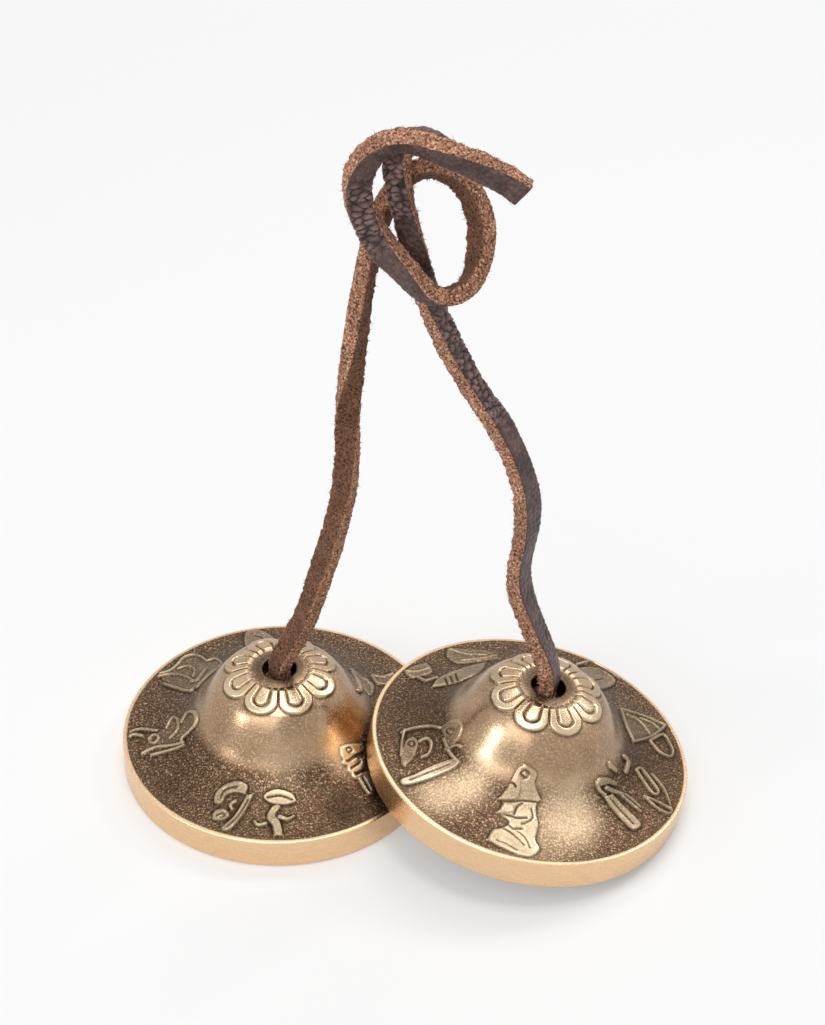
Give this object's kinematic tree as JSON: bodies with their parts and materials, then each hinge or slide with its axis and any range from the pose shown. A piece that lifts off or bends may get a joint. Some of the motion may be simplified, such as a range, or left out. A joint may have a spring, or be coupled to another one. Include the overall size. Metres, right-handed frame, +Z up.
{
  "type": "tingsha cymbals",
  "caption": "Tingsha cymbals: thick-rimmed cast bronze bells with lotus bosses, knotted on leather laces that loop together above them.",
  "frame": {"origin": "on the surface that the pair stands on, under the middle of the two cymbals' bounding box", "axes": "+X to the viewer's right from the flat cymbal to the leaning one, +Y away from the viewer, +Z up"},
  "size_m": [0.115, 0.0763, 0.1612],
  "materials": {
    "bronze": "cast bronze, dark patina in the ground, satin turned rim, polished relief",
    "leather": "dark pebbled grain, rough tan cut edges"
  },
  "bodies": {
    "left_cymbal": {"left_cymbal": "bronze"},
    "left_knot": {"left_stop_knot": "leather"},
    "tied_laces": {"left_lace": "leather", "right_lace_tail": "leather"},
    "right_leg": {"right_lace_leg": "leather"},
    "right_knot": {"right_stop_knot": "leather"},
    "right_cymbal": {"right_cymbal": "bronze"}
  },
  "joints": [
    {"name": "left_swivel", "type": "hinge", "parent": "left_cymbal", "child": "left_knot", "pos_m": [-0.02505, 0.00566, 0.024], "axis": [0, 0, 1], "continuous": true},
    {"name": "left_lace_bend", "type": "hinge", "parent": "left_knot", "child": "tied_laces", "pos_m": [-0.02505, 0.00566, 0.0255], "axis": [-0.204, -0.979, 0], "range_deg": [0, 45]},
    {"name": "lace_swing", "type": "hinge", "parent": "tied_laces", "child": "right_leg", "pos_m": [0.0055, -0.00075, 0.1182], "axis": [-0.204, -0.979, 0], "range_deg": [0, 60]},
    {"name": "right_lace_bend", "type": "hinge", "parent": "right_leg", "child": "right_knot", "pos_m": [0.02917, -0.00564, 0.03101], "axis": [0.204, 0.979, 0], "range_deg": [0, 35]},
    {"name": "right_swivel", "type": "hinge", "parent": "right_knot", "child": "right_cymbal", "pos_m": [0.02917, -0.00564, 0.03101], "axis": [0.1852, 0, 0.9827], "continuous": true}
  ]
}
